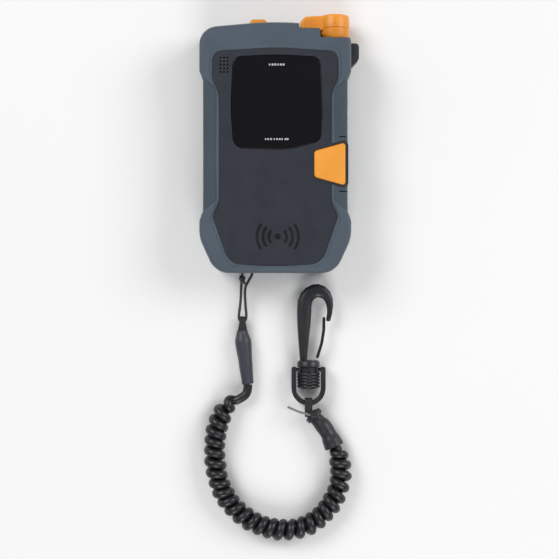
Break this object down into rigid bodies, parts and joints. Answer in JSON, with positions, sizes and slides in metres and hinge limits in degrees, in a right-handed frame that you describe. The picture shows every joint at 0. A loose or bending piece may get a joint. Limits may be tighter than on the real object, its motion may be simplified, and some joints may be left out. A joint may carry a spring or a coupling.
{
  "type": "avalanche transceiver",
  "caption": "Handheld avalanche transceiver with a display window, mode lever, buttons, battery door and a coiled lanyard ending in a swivel snap hook.",
  "frame": {"origin": "middle of the flat back face of the case", "axes": "+X to the right across the case, +Y up the case from the lanyard end to the switch end, +Z out of the front"},
  "size_m": [0.0762, 0.2542, 0.027],
  "materials": {
    "case_slate": "satin",
    "rubber_slate": "matte",
    "panel_navy": "satin",
    "window_black": "gloss",
    "control_orange": "satin",
    "lock_black": "satin",
    "seal_rubber": "matte",
    "shaft_steel": "satin",
    "screw_steel": "satin",
    "contact_metal": "satin",
    "cell_wrap": "satin",
    "board_green": "satin",
    "display_grey": "gloss",
    "switch_black": "satin",
    "ferrite_grey": "matte",
    "winding_copper": "satin",
    "speaker_metal": "satin",
    "cord_black": "matte",
    "coil_black": "satin",
    "sleeve_grey": "satin",
    "strap_black": "matte",
    "tie_grey": "satin",
    "hook_black": "satin",
    "bow_black": "satin",
    "gate_black": "satin"
  },
  "bodies": {
    "case": {"rear_housing": "case_slate", "bumper_frame": "rubber_slate", "front_housing": "panel_navy", "window_lens": "window_black", "lever_seal": "seal_rubber", "case_gasket": "seal_rubber", "door_gasket": "seal_rubber", "lens_gasket": "seal_rubber", "display_module": "display_grey", "main_board": "board_green", "option_switch": "switch_black", "top_switch": "switch_black", "rotary_switch": "switch_black", "case_screws": "screw_steel", "batteries": "cell_wrap", "contact_springs": "contact_metal", "battery_contacts": "contact_metal", "antenna_long_core": "ferrite_grey", "antenna_cross_core": "ferrite_grey", "antenna_upright_core": "ferrite_grey", "antenna_long_winding": "winding_copper", "antenna_cross_winding": "winding_copper", "antenna_upright_winding": "winding_copper", "speaker": "speaker_metal", "lanyard_loop": "cord_black", "loop_knot": "cord_black", "upper_eye": "strap_black", "upper_sleeve": "sleeve_grey", "cord_lead": "coil_black", "cord_coil": "coil_black", "lower_sleeve": "sleeve_grey", "lower_eye": "strap_black", "cable_tie": "tie_grey", "swivel_bow": "bow_black"},
    "mode_lever": {"mode_lever": "control_orange", "lever_shaft": "shaft_steel"},
    "option_button": {"option_button": "control_orange"},
    "top_button": {"top_button": "control_orange"},
    "lock_tab": {"lock_tab": "lock_black"},
    "battery_door": {"battery_door": "case_slate"},
    "door_screw": {"door_screw": "screw_steel"},
    "hook": {"hook_body": "hook_black"},
    "hook_gate": {"hook_gate": "gate_black"}
  },
  "joints": [
    {"name": "mode_lever_turn", "type": "hinge", "parent": "case", "child": "mode_lever", "pos_m": [0.02865, 0.0583, 0.012], "axis": [0, 1, 0], "range_deg": [0, 90]},
    {"name": "option_button_press", "type": "slide", "parent": "case", "child": "option_button", "axis": [0, 0, -1], "range_m": [0, 0.0012], "stiffness_N_per_m": 1500},
    {"name": "top_button_press", "type": "slide", "parent": "case", "child": "top_button", "axis": [0, -1, 0], "range_m": [0, 0.0015], "stiffness_N_per_m": 1200},
    {"name": "lock_tab_press", "type": "slide", "parent": "case", "child": "lock_tab", "axis": [-1, 0, 0], "range_m": [0, 0.002], "stiffness_N_per_m": 1000},
    {"name": "battery_door_hinge", "type": "hinge", "parent": "case", "child": "battery_door", "pos_m": [0, -0.0535, 0.0014], "axis": [-1, 0, 0], "range_deg": [0, 75]},
    {"name": "door_screw_turn", "type": "hinge", "parent": "battery_door", "child": "door_screw", "pos_m": [0, 0.0038, 0], "axis": [0, 0, -1], "range_deg": [0, 90]},
    {"name": "hook_swivel", "type": "hinge", "parent": "case", "child": "hook", "pos_m": [0.0161, -0.1063, 0.00555], "axis": [0, 1, 0], "continuous": true},
    {"name": "hook_gate_flex", "type": "hinge", "parent": "hook", "child": "hook_gate", "pos_m": [0.02025, -0.1004, 0.00555], "axis": [0, 0, 1], "range_deg": [0, 16], "stiffness_Nm_per_rad": 0.05}
  ]
}
